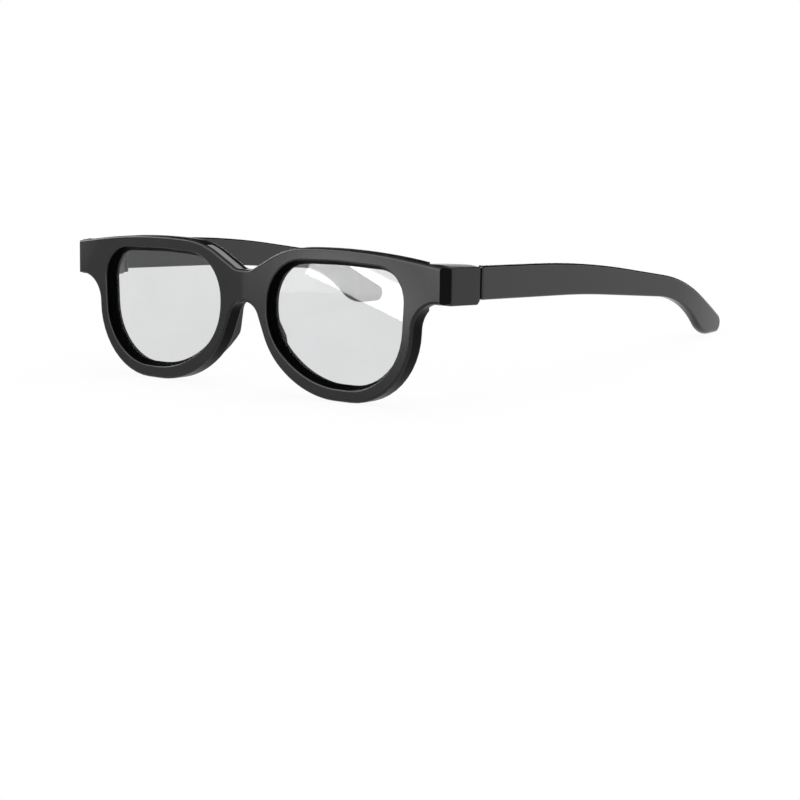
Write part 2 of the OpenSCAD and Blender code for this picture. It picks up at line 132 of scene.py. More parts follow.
def fillLoops(bm, *loops):
    edges = []
    for loop in loops:
        for i, v in enumerate(loop):
            edges.append(bm.edges.get((v, loop[(i + 1) % len(loop)])))
    bmesh.ops.triangle_fill(bm, edges=edges, use_beauty=True, use_dissolve=False)


def prism(bm, points, low, high, place):
    rings = []
    for level in (low, high):
        rings.append(addRing(bm, [place(p[0], p[1], level) for p in points]))
    joinRings(bm, rings)
    bm.faces.new(rings[0])
    bm.faces.new(rings[1])


def lathe(bm, profile, centre, steps=48):
    rings = []
    for k in range(steps):
        a = 2 * math.pi * k / steps
        rings.append([centre + Vector((r * math.cos(a), r * math.sin(a), z)) for r, z in profile])
    rings = [addRing(bm, ring) for ring in rings]
    joinRings(bm, rings, closed=True)
    bmesh.ops.remove_doubles(bm, verts=bm.verts, dist=weld)
    loose = [e for e in bm.edges if not e.link_faces]  # left on the axis of a solid piece
    bmesh.ops.delete(bm, geom=loose, context="EDGES")


def faceOutwards(bm):
    bmesh.ops.recalc_face_normals(bm, faces=bm.faces)
    if bm.calc_volume(signed=True) < 0:
        bmesh.ops.reverse_faces(bm, faces=bm.faces)


def addPart(bm, part):
    mesh = bpy.data.meshes.new("part")
    part.to_mesh(mesh)
    part.free()
    bm.from_mesh(mesh)
    bpy.data.meshes.remove(mesh)


def cleanMesh(bm):
    bmesh.ops.remove_doubles(bm, verts=bm.verts, dist=weld)
    faceOutwards(bm)


def toObject(bm, name):
    mesh = bpy.data.meshes.new(name)
    bm.to_mesh(mesh)
    bm.free()
    obj = bpy.data.objects.new(name, mesh)
    bpy.context.collection.objects.link(obj)
    return obj


def bakeModifiers(obj):
    graph = bpy.context.evaluated_depsgraph_get()
    mesh = bpy.data.meshes.new_from_object(obj.evaluated_get(graph))
    obj.modifiers.clear()
    obj.data = mesh


def carve(obj, cutter, operation="DIFFERENCE"):
    modifier = obj.modifiers.new("carve", "BOOLEAN")
    modifier.operation = operation
    modifier.solver = "EXACT"
    modifier.object = cutter
    bakeModifiers(obj)
    bpy.data.objects.remove(cutter)


# Smooth shading breaks at real edges, and "rub" marks the convex edges that get handled

def finishMesh(obj, mirrored=False, sharpDegrees=32, rubDegrees=40):
    bm = bmesh.new()
    bm.from_mesh(obj.data)
    bmesh.ops.scale(bm, verts=bm.verts, vec=(-mm if mirrored else mm, mm, mm))
    if mirrored:
        bmesh.ops.reverse_faces(bm, faces=bm.faces)
    rub = bm.verts.layers.float.new("rub")
    for face in bm.faces:
        face.smooth = True
    for edge in bm.edges:
        if len(edge.link_faces) == 2:
            edge.smooth = edge.calc_face_angle(0) < math.radians(sharpDegrees)
    for vert in bm.verts:
        bends = [e.calc_face_angle_signed(0) for e in vert.link_edges if len(e.link_faces) == 2]
        vert[rub] = min(1, max(bends + [0]) / math.radians(rubDegrees))
    bm.to_mesh(obj.data)
    bm.free()
    modifier = obj.modifiers.new("flats", "WEIGHTED_NORMAL")
    modifier.keep_sharp = True
    bakeModifiers(obj)


# Shader maths: a wrapped socket takes Python's operators

class Wire:
    def __init__(self, shade, socket):
        self.shade = shade
        self.socket = socket

    def math(self, operation, a, b):
        return self.shade.node("ShaderNodeMath", {"operation": operation}, {0: a, 1: b})

    def __add__(self, other):
        return self.math("ADD", self, other)

    def __radd__(self, other):
        return self.math("ADD", other, self)

    def __sub__(self, other):
        return self.math("SUBTRACT", self, other)

    def __rsub__(self, other):
        return self.math("SUBTRACT", other, self)

    def __mul__(self, other):
        return self.math("MULTIPLY", self, other)

    def __rmul__(self, other):
        return self.math("MULTIPLY", other, self)


class Shade:
    def __init__(self, tree):
        self.tree = tree
        tree.nodes.clear()

    def node(self, kind, settings, sockets, output=0):
        made = self.tree.nodes.new(kind)
        for name, value in settings.items():
            setattr(made, name, value)
        for name, value in sockets.items():
            if isinstance(value, Wire):
                self.tree.links.new(value.socket, made.inputs[name])
            else:
                made.inputs[name].default_value = value
        if len(made.outputs) == 0:
            return made
        return Wire(self, made.outputs[output])

    def part(self, wire, output):
        return Wire(self, wire.socket.node.outputs[output])

    def noise(self, where, scale, detail):
        return self.node("ShaderNodeTexNoise", {"noise_dimensions": "3D"},
                         {"Vector": where, "Scale": scale, "Detail": detail})

    def spread(self, value, low, high, toLow, toHigh):
        return self.node("ShaderNodeMapRange", {"interpolation_type": "SMOOTHSTEP"},
                         {"Value": value, "From Min": low, "From Max": high,
                          "To Min": toLow, "To Max": toHigh})

    def mixColour(self, factor, a, b):
        return self.node("ShaderNodeMix", {"data_type": "RGBA"}, {0: factor, 6: a, 7: b}, 2)

    def larger(self, a, b):
        return self.node("ShaderNodeMath", {"operation": "MAXIMUM"}, {0: a, 1: b})

    def objectPlace(self):
        return self.node("ShaderNodeTexCoord", {}, {}, "Object")

    def attribute(self, name):
        return self.node("ShaderNodeAttribute", {"attribute_name": name}, {}, "Fac")


def newMaterial(name):
    material = bpy.data.materials.new(name)
    material.use_nodes = True
    return material, Shade(material.node_tree)


def surface(shade, shader):
    shade.node("ShaderNodeOutputMaterial", {}, {"Surface": shader})


# Moulded plastic: fine spark texture from the tool, duller patches, edges polished by hands

def plasticMaterial(name, look):
    material, shade = newMaterial(name)
    where = shade.objectPlace()
    patches = shade.noise(where, *look["patchNoise"])
    grain = shade.noise(where, *look["grainNoise"])
    rub = shade.attribute("rub")
    dust = shade.spread(shade.noise(where, *look["dustNoise"]), *look["dustRange"], 0, look["dust"])
    tone = shade.mixColour(patches, look["dark"], look["pale"])
    tone = shade.mixColour(rub * look["rubTone"], tone, look["worn"])
    tone = shade.mixColour(dust, tone, look["dustTone"])
    rough = look["rough"] + (patches - 0.5) * look["roughSpread"]
    rough = rough - rub * look["rubGloss"] + dust * look["dustRough"]
    bump = shade.node("ShaderNodeBump", {},
                      {"Strength": look["grain"], "Distance": look["grainDepth"] * mm, "Height": grain})
    surface(shade, shade.node("ShaderNodeBsdfPrincipled", {},
                              {"Base Color": tone, "Roughness": rough, "Normal": bump,
                               "IOR": look["ior"], "Specular IOR Level": look["gloss"]}))
    return material


# Each noise is its scale and its detail
satinLook = {
    "dark": (0.003, 0.003, 0.0032, 1), "pale": (0.005, 0.005, 0.0053, 1),
    "worn": (0.05, 0.05, 0.051, 1), "rubTone": 0.45,
    "dust": 0.03, "dustTone": (0.12, 0.12, 0.12, 1), "dustNoise": (900, 4), "dustRange": (0.62, 0.78),
    "dustRough": 0.2,
    "rough": 0.2, "roughSpread": 0.06, "rubGloss": 0.04, "patchNoise": (55, 3),
    "grain": 0.08, "grainNoise": (5200, 1), "grainDepth": 0.02, "ior": 1.5, "gloss": 0.22}
satinBlack = plasticMaterial("satinBlack", satinLook)

# Insides of the openings, walls of the front, temples, hinge blocks, nose pads and closing strips
# darker and almost without sheen inside the openings: painted shade in the recesses, on a matt finish
mattShadedLook = dict(satinLook, dark=(0.001, 0.001, 0.001, 1), pale=(0.002, 0.002, 0.002, 1),
                worn=(0.004, 0.004, 0.004, 1), rough=0.4, gloss=0.005, dust=0)
mattShadedBlack = plasticMaterial("mattShadedBlack", mattShadedLook)

# duller copy of the satin plastic for the walls and the outer slopes of the front: painted shade
shadedWallLook = dict(satinLook, worn=(0.008, 0.008, 0.008, 1), rough=0.3, gloss=0.03)
shadedWallBlack = plasticMaterial("shadedWallBlack", shadedWallLook)

templeLook = dict(satinLook, worn=(0.014, 0.014, 0.0145, 1), gloss=0.52)
templeBlack = plasticMaterial("templeBlack", templeLook)

blockLook = dict(satinLook, rough=0.33, gloss=0.28)
blockBlack = plasticMaterial("blockBlack", blockLook)

# paler than the other black parts: painted light on the nose pads; also rougher and grainier
litPadLook = dict(satinLook, dark=(0.012, 0.012, 0.0125, 1), pale=(0.02, 0.02, 0.0205, 1),
               rough=0.42, grain=0.2, dust=0.1, gloss=0.2)
litPadBlack = plasticMaterial("litPadBlack", litPadLook)

stripLook = dict(satinLook, dark=(0.16, 0.16, 0.165, 1), pale=(0.23, 0.23, 0.235, 1),
                 worn=(0.3, 0.3, 0.3, 1), rough=0.5, grain=0.35, grainNoise=(3600, 1), grainDepth=0.05,
                 dust=0.2)
stripGrey = plasticMaterial("stripGrey", stripLook)


# Lens: two thin films seen as one sheet, slightly wavy, with a little haze

def filmMaterial(name, look):
    material, shade = newMaterial(name)
    where = shade.objectPlace()
    wave = shade.noise(where, *look["waveNoise"])
    haze = shade.noise(where, *look["hazeNoise"])
    bump = shade.node("ShaderNodeBump", {},
                      {"Strength": look["wave"], "Distance": look["waveDepth"] * mm, "Height": wave})
    cloud = shade.spread(haze, *look["tintRange"], 0, 1)
    tint = shade.mixColour(cloud, look["clear"], look["hazy"])
    rough = shade.spread(haze, *look["roughRange"], look["rough"], look["roughHazy"])
    surface(shade, shade.node("ShaderNodeBsdfPrincipled", {},
                              {"Base Color": tint, "Roughness": rough, "Normal": bump,
                               "Transmission Weight": 1.0, "IOR": look["ior"]}))
    return material


filmLook = {
    "clear": (0.72, 0.725, 0.73, 1), "hazy": (0.69, 0.695, 0.7, 1), "tintRange": (0.35, 0.7),
    "rough": 0.0, "roughHazy": 0.015, "roughRange": (0.3, 0.75), "hazeNoise": (28, 3),
    "wave": 0.12, "waveDepth": 0.25, "waveNoise": (45, 1), "ior": 1.36}
lensFilm = filmMaterial("lensFilm", filmLook)


# Pin: turned steel, with rings from the tool

def steelMaterial(name, look):
    material, shade = newMaterial(name)
    where = shade.objectPlace()
    stretched = shade.node("ShaderNodeMapping", {}, {"Vector": where, "Scale": look["stretch"]})
    lines = shade.noise(stretched, *look["lineNoise"])
    bump = shade.node("ShaderNodeBump", {}, {"Strength": look["line"], "Distance": look["lineDepth"] * mm,
                                            "Height": lines})
    tone = shade.mixColour(lines, look["dark"], look["pale"])
    rough = shade.spread(lines, *look["lineRange"], *look["rough"])
    surface(shade, shade.node("ShaderNodeBsdfPrincipled", {},
                              {"Base Color": tone, "Metallic": 1.0, "Normal": bump, "Roughness": rough}))
    return material


steelLook = {"dark": (0.42, 0.42, 0.43, 1), "pale": (0.62, 0.62, 0.63, 1), "rough": (0.25, 0.42),
             "line": 0.2, "lineDepth": 0.02, "lineNoise": (900, 3), "lineRange": (0.3, 0.7),
             "stretch": (1, 1, 12)}
steelPin = steelMaterial("steelPin", steelLook)
print("materials made")


# Front moulding, the half at the wearer's left, drawn flat: across from the middle, up from the
# lens centre

frontShape = {
    "sweep": 1.4, "bevel": 0.8, "rearBevel": 0.4, "bevelSteps": 6, "rearSteps": 3, "hold": 0.12,
    "rimTop": 2.8, "rimBottom": 2.8, "rimSide": 1.9, "rimTaper": 0.7, "rimCrown": 0.5,
    "endTop": 17.9, "endHeight": 8.6, "endPlate": 2.8, "facet": 2, "endCorner": 0.4, "endFillet": 9.5,
    "crownAt": 0.67, "crownRadius": 220, "shoulderRadius": 30, "shoulderIn": 7.8, "shoulderFall": 0.8,
    "rimSideRadius": 22, "rimNoseRadius": 35,
    "archInset": 4.7, "archRadius": 6.5, "bridgeHeight": 8, "bridgeFlat": 3, "valleyRadius": 6,
    "flankIn": 1.6, "flankUp": 8.4, "flankRadius": 25, "midOver": 3, "crease": 1.6}
lensShape = {
    "width": 52, "height": 37.4, "gap": 18.8, "topFall": 0.9, "sideLean": 1.8,
    "noseCutWidth": 15.8, "noseCutHeight": 13.7,
    "topNoseRadius": 14, "topSideRadius": 10, "bottomSideRadius": 19.5, "bottomNoseRadius": 34,
    "noseSideRadius": 19, "crownRadius": 120,
    "funnel": 1.3, "set": 2.4, "rearFlare": 0.5, "rearEase": 0.05,
    "lip": 0.3, "lipSteps": 6, "lipRun": 1.4,
    "filmLap": 1.1, "filmThick": 0.38, "filmSoft": 0.08, "filmHold": 0.05, "seat": 0.05}
stripShape = {"start": 2.2, "end": 16.8, "width": 2.9, "thick": 0.85, "sink": 0.25, "notch": 0.8,
              "lip": 1, "wall": 1, "corner": 0.15, "cornerSteps": 3}
cutterShape = {"hair": 0.01, "over": 9, "back": 4, "deep": 20, "tall": 40, "above": 1}
# satin plastic, then the darker, duller copies that paint shade into the openings and onto the walls
frontMaterials = (satinBlack, mattShadedBlack, shadedWallBlack)
shadedOpeningSlot = 1
shadedWallSlot = 2

archRise = -lensMid
xIn = lensShape["gap"] / 2
xOut = xIn + lensShape["width"]
zTop = lensShape["height"] / 2
endLow = frontShape["endTop"] - frontShape["endHeight"]
bridgeTop = archRise + frontShape["bridgeHeight"]
endX = halfWidth - frontShape["bevel"]
grooveEnd = lensShape["set"] + 2 * lensShape["filmThick"] + 3 * lensShape["seat"]
archCorner = Vector((xIn - frontShape["archInset"], archRise))
flankFoot = Vector((xIn + frontShape["flankIn"], frontShape["flankUp"] - zTop))

openingOutline = roundedOutline([
    (xIn + lensShape["noseCutWidth"], -zTop, lensShape["bottomNoseRadius"]),
    (xOut - lensShape["sideLean"], -zTop, lensShape["bottomSideRadius"]),
    (xOut, zTop - lensShape["topFall"], lensShape["topSideRadius"]),
    (xIn + lensShape["width"] / 2, zTop, lensShape["crownRadius"]),
    (xIn, zTop - lensShape["topFall"], lensShape["topNoseRadius"]),
    (xIn, lensShape["noseCutHeight"] - zTop, lensShape["noseSideRadius"])])

faceOutline = roundedOutline([
    (-frontShape["midOver"], archRise, 0),
    (archCorner.x, archCorner.y, frontShape["archRadius"]),
    (flankFoot.x, flankFoot.y, frontShape["flankRadius"]),
    (xIn + lensShape["noseCutWidth"] - frontShape["rimTaper"], -zTop - frontShape["rimBottom"],
     frontShape["rimNoseRadius"]),
    (xOut + frontShape["rimSide"] - frontShape["rimTaper"], -zTop - frontShape["rimBottom"],
     frontShape["rimSideRadius"]),
    (xOut + frontShape["rimSide"], endLow, frontShape["endFillet"]),
    (endX, endLow, frontShape["endCorner"]),
    (endX, frontShape["endTop"], frontShape["endCorner"]),
    (xIn + lensShape["width"] * frontShape["crownAt"], zTop + frontShape["rimTop"] + frontShape["rimCrown"],
     frontShape["crownRadius"]),
    (xIn + frontShape["shoulderIn"], zTop + frontShape["rimTop"] - frontShape["shoulderFall"],
     frontShape["shoulderRadius"]),
    (frontShape["bridgeFlat"], bridgeTop, frontShape["valleyRadius"]),
    (-frontShape["midOver"], bridgeTop, 0)])

squarePlace = Matrix.Translation((0, -frontDepth / 2, lensMid))
sweptPlace = squarePlace @ Matrix.Rotation(math.radians(frontShape["sweep"]), 4, "Z")


def swept(x, z, y):
    return sweptPlace @ Vector((x, y, z))


def squared(x, y, z):
    return squarePlace @ Vector((x, y, z))


def quarterRound(radius, steps):
    turns = [math.pi / 2 * k / steps for k in range(steps + 1)]
    return [(radius * math.sin(a), radius * (1 - math.cos(a))) for a in turns]


# The outside runs from the face round the bevel to the rear; growth is from the face's outline

def outsideProfile():
    bevel = frontShape["bevel"]
    rear = frontShape["rearBevel"]
    hold = frontShape["hold"]
    profile = [(0, -hold)]
    profile += [(y, out) for out, y in quarterRound(bevel, frontShape["bevelSteps"])]
    profile += [(bevel + hold, bevel), (frontDepth - rear - hold, bevel)]
    rearRound = reversed(quarterRound(rear, frontShape["rearSteps"]))
    profile += [(frontDepth - y, bevel - rear + out) for out, y in rearRound]
    profile.append((frontDepth, bevel - rear - hold))
    return profile


# The opening runs from its rounded front lip down the slope, round the film groove, out at the rear

def openingProfile():
    funnel = lensShape["funnel"]
    depth = lensShape["set"]
    lip = lensShape["lip"]
    hold = frontShape["hold"]
    slope = Vector((depth, -funnel)).normalized() * lip
    profile = [(0, lip + hold)]
    for k in range(lensShape["lipSteps"]):
        t = k / (lensShape["lipSteps"] - 1)
        profile.append((slope.x * t * t, lip * (1 - t) ** 2 + slope.y * t * t))
    profile.append((slope.x * lensShape["lipRun"], slope.y * lensShape["lipRun"]))
    grooveGrow = lensShape["filmLap"] + 2 * lensShape["seat"] - funnel
    profile += [(depth, -funnel), (depth, grooveGrow), (grooveEnd, grooveGrow), (grooveEnd, -funnel)]
    flare = lensShape["rearFlare"] - funnel
    profile += [(frontDepth - lip, flare - lensShape["rearEase"]), (frontDepth - lip / 3, flare + lip / 6)]
    profile += [(frontDepth, flare + lip / 2), (frontDepth, flare + lip / 2 + hold)]
    return profile


def halfFront():
    bm = bmesh.new()
    outside = [addRing(bm, [swept(p.x, p.y, y) for p in growOutline(faceOutline, grow)])
               for y, grow in outsideProfile()]
    inside = [addRing(bm, [swept(p.x, p.y, y) for p in growOutline(openingOutline, grow)])
              for y, grow in openingProfile()]
    lipEnd = lensShape["lipSteps"]
    wall = frontShape["bevelSteps"] + 1
    joinRings(bm, inside[:lipEnd + 1])
    # behind the lip the opening takes the darker copy: painted shade
    joinRings(bm, inside[lipEnd:], materialChoice=shadedOpeningSlot)
    joinRings(bm, outside[:wall + 1])
    # the side walls of the front take the duller copy: painted shade
    joinRings(bm, outside[wall:wall + 3], materialChoice=shadedWallSlot)
    joinRings(bm, outside[wall + 2:])
    fillLoops(bm, outside[0], inside[0])
    fillLoops(bm, outside[-1], inside[-1])
    cleanMesh(bm)
    everything = bm.verts[:] + bm.edges[:] + bm.faces[:]
    bmesh.ops.bisect_plane(bm, geom=everything, dist=weld, plane_co=(0, 0, 0), plane_no=(1, 0, 0),
                           clear_inner=True)
    everything = bm.verts[:] + bm.edges[:] + bm.faces[:]
    bmesh.ops.bisect_plane(bm, geom=everything, dist=weld, plane_co=(frontShape["crease"], 0, 0),
                           plane_no=(1, 0, 0))
    return bm


# The top edge and the slope beside the bridge, from x0 to x1, on the outline grown by a distance

def topSpan(grow, x0, x1):
    points = [p for p in growOutline(faceOutline, grow) if p.y > bridgeTop - frontShape["midOver"]]
    span = []
    for a, b in zip(points, points[1:]):
        for edge in (x1, x0):
            if min(a.x, b.x) < edge < max(a.x, b.x):
                span.append(a + (b - a) * (edge - a.x) / (b.x - a.x))
        if x0 < b.x < x1:
            span.append(b)
    return sorted(span, key=lambda p: p.x)


# Slot for the films, channel for the strip, seat for the hinge block, slope at the outer end

def frontCutters():
    hair = cutterShape["hair"]
    over = cutterShape["over"]
    tall = cutterShape["tall"]
    slot = bmesh.new()
    groove = growOutline(openingOutline, lensShape["filmLap"] + 2 * lensShape["seat"] - lensShape["funnel"])
    slotLow = min(p.x for p in groove)
    slotHigh = max(p.x for p in groove)
    prism(slot, [(slotLow, zTop / 2), (slotHigh, zTop / 2), (slotHigh, zTop * 2), (slotLow, zTop * 2)],
          lensShape["set"] + hair, grooveEnd - hair, swept)

    channel = bmesh.new()
    floor = frontShape["bevel"] - stripShape["sink"] - stripShape["thick"] - lensShape["seat"]
    channelEnd = halfWidth - frontShape["facet"] - stripShape["wall"]
    low = topSpan(floor, stripShape["start"], channelEnd)
    high = topSpan(frontShape["bevel"] + cutterShape["above"], stripShape["start"], channelEnd)
    lip = stripShape["lip"]
    prism(channel, low + high[::-1], lip - lensShape["seat"], lip + stripShape["width"] + lensShape["seat"],
          swept)

    rebate = bmesh.new()
    plateEnd = halfWidth * math.sin(math.radians(frontShape["sweep"])) + frontShape["endPlate"]
    inner = blockLow.x - lensShape["seat"]
    outer = halfWidth + over
    rear = cutterShape["deep"]
    prism(rebate, [(inner, plateEnd), (outer, plateEnd), (outer, rear), (inner, rear)], 0, tall, squared)

    facet = bmesh.new()
    start = Vector((halfWidth - frontShape["facet"], plateEnd - frontShape["endPlate"]))
    along = Vector((frontShape["facet"], frontShape["endPlate"])).normalized()
    away = Vector((along.y, -along.x))
    first = start - along * cutterShape["back"]
    last = start + along * over
    corners = [first, last, last + away * over, first + away * over]
    prism(facet, [(p.x, p.y) for p in corners], 0, tall, squared)
    # the slope at the outer end gets the same painted shade as the walls
    for face in facet.faces:
        face.material_index = shadedWallSlot
    return [slot, channel, rebate, facet]


def makeFront():
    bm = halfFront()
    bmesh.ops.mirror(bm, geom=bm.verts[:] + bm.edges[:] + bm.faces[:], axis="X", merge_dist=10 * weld)
    cleanMesh(bm)
    obj = toObject(bm, "frontMoulding")
    for material in frontMaterials:
        obj.data.materials.append(material)
    for cutter in frontCutters():
        faceOutwards(cutter)
        other = cutter.copy()
        bmesh.ops.scale(other, verts=other.verts, vec=(-1, 1, 1))
        bmesh.ops.reverse_faces(other, faces=other.faces)
        for piece in (cutter, other):
            tool = toObject(piece, "cutter")
            for material in frontMaterials:
                tool.data.materials.append(material)
            carve(obj, tool)
    finishMesh(obj)
    return obj


def dress(obj, material, body, slot, *nodes):
    if not obj.data.materials:
        obj.data.materials.append(material)
    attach(obj, body)
    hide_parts(*nodes)


dress(makeFront(), satinBlack, "front", "black_satin", "front_frame")
print("front moulding made")


# Lenses: the two films of each side as one sheet with softened edges

def makeLens(name, mirrored):
    bm = bmesh.new()
    film = growOutline(openingOutline, lensShape["filmLap"] - lensShape["funnel"])
    near = lensShape["set"] + lensShape["seat"]
    far = near + 2 * lensShape["filmThick"] + lensShape["seat"]
    soft = lensShape["filmSoft"]
    hold = soft + lensShape["filmHold"]
    profile = [(near, -hold), (near, -soft), (near + soft, 0), (far - soft, 0), (far, -soft), (far, -hold)]
    rings = [addRing(bm, [swept(p.x, p.y, y) for p in growOutline(film, grow)]) for y, grow in profile]
    joinRings(bm, rings)
    fillLoops(bm, rings[0])
    fillLoops(bm, rings[-1])
    cleanMesh(bm)
    obj = toObject(bm, name)
    finishMesh(obj, mirrored)
    return obj


for side in ("left", "right"):
    lens = makeLens(side + "Lens", side == "right")
    dress(lens, lensFilm, "front", "polariser_film", side + "_quarter_wave_film", side + "_polariser_film")
print("lenses made")


# Closing strips: a flat bar swept along the slope by Geometry Nodes

def stripTree():
    tree = bpy.data.node_groups.new("closingStrip", "GeometryNodeTree")
    sockets = tree.interface
    sockets.new_socket("Geometry", in_out="INPUT", socket_type="NodeSocketGeometry")
    sizes = {}
    for name in ("Width", "Thickness", "Corner"):
        sizes[name] = sockets.new_socket(name, in_out="INPUT", socket_type="NodeSocketFloat").identifier
    materialChoice = sockets.new_socket("Material", in_out="INPUT", socket_type="NodeSocketMaterial")
    sizes["Material"] = materialChoice.identifier
    sockets.new_socket("Geometry", in_out="OUTPUT", socket_type="NodeSocketGeometry")
    made = {}
    for kind in ("NodeGroupInput", "GeometryNodeMeshToCurve", "GeometryNodeSetCurveNormal",
                 "GeometryNodeCurvePrimitiveQuadrilateral", "GeometryNodeFilletCurve",
                 "GeometryNodeCurveToMesh", "GeometryNodeRealizeInstances", "GeometryNodeSetMaterial",
                 "NodeGroupOutput"):
        made[kind] = tree.nodes.new(kind)
    source = made["NodeGroupInput"].outputs
    made["GeometryNodeSetCurveNormal"].mode = "Z_UP"
    made["GeometryNodeFilletCurve"].mode = "POLY"
    made["GeometryNodeFilletCurve"].inputs["Count"].default_value = stripShape["cornerSteps"]
    made["GeometryNodeCurveToMesh"].inputs["Fill Caps"].default_value = True
    chain = [
        (source["Geometry"], "GeometryNodeMeshToCurve", "Mesh"),
        ("GeometryNodeMeshToCurve", "GeometryNodeSetCurveNormal", "Curve"),
        ("GeometryNodeSetCurveNormal", "GeometryNodeCurveToMesh", "Curve"),
        (source["Width"], "GeometryNodeCurvePrimitiveQuadrilateral", "Width"),
        (source["Thickness"], "GeometryNodeCurvePrimitiveQuadrilateral", "Height"),
        ("GeometryNodeCurvePrimitiveQuadrilateral", "GeometryNodeFilletCurve", "Curve"),
        (source["Corner"], "GeometryNodeFilletCurve", "Radius"),
        ("GeometryNodeFilletCurve", "GeometryNodeCurveToMesh", "Profile Curve"),
        ("GeometryNodeCurveToMesh", "GeometryNodeRealizeInstances", "Geometry"),
        ("GeometryNodeRealizeInstances", "GeometryNodeSetMaterial", "Geometry"),
        (source["Material"], "GeometryNodeSetMaterial", "Material"),
        ("GeometryNodeSetMaterial", "NodeGroupOutput", "Geometry")]
    for start, end, socket in chain:
        output = made[start].outputs[0] if isinstance(start, str) else start
        tree.links.new(output, made[end].inputs[socket])
    return tree, sizes


def makeStrip(name, mirrored, tree, sizes):
    middle = frontShape["bevel"] - stripShape["sink"] - stripShape["thick"] / 2
    path = topSpan(middle, stripShape["start"] + stripShape["notch"], stripShape["end"])
    mesh = bpy.data.meshes.new(name)
    points = [swept(p.x, p.y, stripShape["lip"] + stripShape["width"] / 2) for p in path]
    mesh.from_pydata(points, [(i, i + 1) for i in range(len(points) - 1)], [])
    obj = bpy.data.objects.new(name, mesh)
    bpy.context.collection.objects.link(obj)
    modifier = obj.modifiers.new("strip", "NODES")
    modifier.node_group = tree
    modifier[sizes["Width"]] = stripShape["width"]
    modifier[sizes["Thickness"]] = stripShape["thick"]
    modifier[sizes["Corner"]] = stripShape["corner"]
    modifier[sizes["Material"]] = stripGrey
    bakeModifiers(obj)
    bm = bmesh.new()
    bm.from_mesh(obj.data)
    cleanMesh(bm)
    bm.to_mesh(obj.data)
    bm.free()
    finishMesh(obj, mirrored)
    return obj


tree, sizes = stripTree()
for side in ("left", "right"):
    strip = makeStrip(side + "ClosingStrip", side == "right", tree, sizes)
    dress(strip, stripGrey, "front", "strip_grey", side + "_closing_strip")
print("closing strips made")


# Nose pads: a fin that follows the flank of the rim, high in its middle, rounded along its crest

padShape = {"reach": 3.9, "thick": 1.9, "top": 1.2, "foot": 4.5, "belly": 12.4,
            "flatten": 0.1, "flattenPower": 6, "fall": 0.72, "fallPower": 1.25, "least": 0.05, "thin": 0.35,
            "stations": 40, "crestSteps": 8, "root": 0.15, "sharp": 50}


def leafDepth(z):
    low = padShape["foot"] - zTop
    belly = padShape["belly"] - zTop
    top = archRise - padShape["top"]
    if z < belly:
        t = max(0, (z - low) / (belly - low))
        return padShape["reach"] * t * (1 - padShape["flatten"] * t ** padShape["flattenPower"])
    t = (z - belly) / (top - belly)
    return padShape["reach"] * (1 - padShape["flatten"] - padShape["fall"] * t ** padShape["fallPower"])


def flankPoints(grow):
    points = growOutline(faceOutline, grow)
    low = padShape["foot"] - zTop
    top = archRise - padShape["top"]
    flank = [p for p in points[:len(points) // 2] if p.x < xIn + lensShape["noseCutWidth"]]
    path = []
    for k in range(padShape["stations"] + 1):
        z = low + (top - low) * k / padShape["stations"]
        for a, b in zip(flank, flank[1:]):
            if min(a.y, b.y) <= z <= max(a.y, b.y) and a.y != b.y:
                path.append(a + (b - a) * (z - a.y) / (b.y - a.y))
                break
    return path


def makePad(name, mirrored):
    nose = flankPoints(frontShape["bevel"] / 2)
    bm = bmesh.new()
    rings = []
    for i, p in enumerate(nose):
        before = nose[max(0, i - 1)]
        after = nose[min(len(nose) - 1, i + 1)]
        run = (after - before).normalized()
        inward = Vector((run.y, -run.x))
        depth = max(leafDepth(p.y), padShape["least"])
        thick = padShape["thick"] * min(1, padShape["thin"] + depth / padShape["reach"])
        half = thick / 2
        crest = min(half, depth)
        section = [(0, -padShape["root"]), (0, depth - crest)]
        for k in range(1, padShape["crestSteps"]):
            a = math.pi * k / padShape["crestSteps"]
            section.append((half - half * math.cos(a), depth - crest + crest * math.sin(a)))
        section += [(thick, depth - crest), (thick, -padShape["root"])]
        rings.append([swept(*(p + inward * u), frontDepth + v) for u, v in section])
    rings = [addRing(bm, ring) for ring in rings]
    joinRings(bm, rings)
    bm.faces.new(rings[0])
    bm.faces.new(rings[-1])
    cleanMesh(bm)
    obj = toObject(bm, name)
    finishMesh(obj, mirrored, padShape["sharp"])
    return obj


for side in ("left", "right"):
    dress(makePad(side + "NosePad", side == "right"), litPadBlack, "front", "black_satin", side + "_nose_pad")
print("nose pads made")


# Hinges: block with two knuckles on the front, one knuckle on the temple, a headed pin through them

hingeShape = {"fall": 0.6, "under": 0.4, "crown": 0.5, "slope": 3.4, "chamfer": 1, "full": 0.55, "gap": 1,
              "knuckle": 2.2, "middle": 3.6, "clear": 0.2, "swing": 0.35, "step": 1, "cover": 2.1,
              "pin": 0.8, "pinPlay": 0.05, "head": 1.25, "headThick": 0.75, "edge": 0.15,
              "soften": 0.35, "softenFrom": 20, "softenSteps": 3, "flat": 1, "past": 1, "roof": 3}
hingeMid = (frontShape["endTop"] - frontShape["endHeight"] / 2) + lensMid
crownTop = blockHigh.z
blockTop = crownTop - hingeShape["crown"]
blockBase = pinLow.z
blockFront = blockLow.y
blockEnd = hingeY - hingeShape["gap"] / 2


def softProfile(points, edge):
    soft = []
    for i, p in enumerate(points):
        here = Vector(p)
        if here.x == 0:
            soft.append(p)
            continue
        for other in (Vector(points[i - 1]), Vector(points[(i + 1) % len(points)])):
            soft.append(tuple(here + (other - here).normalized() * edge))
    return soft


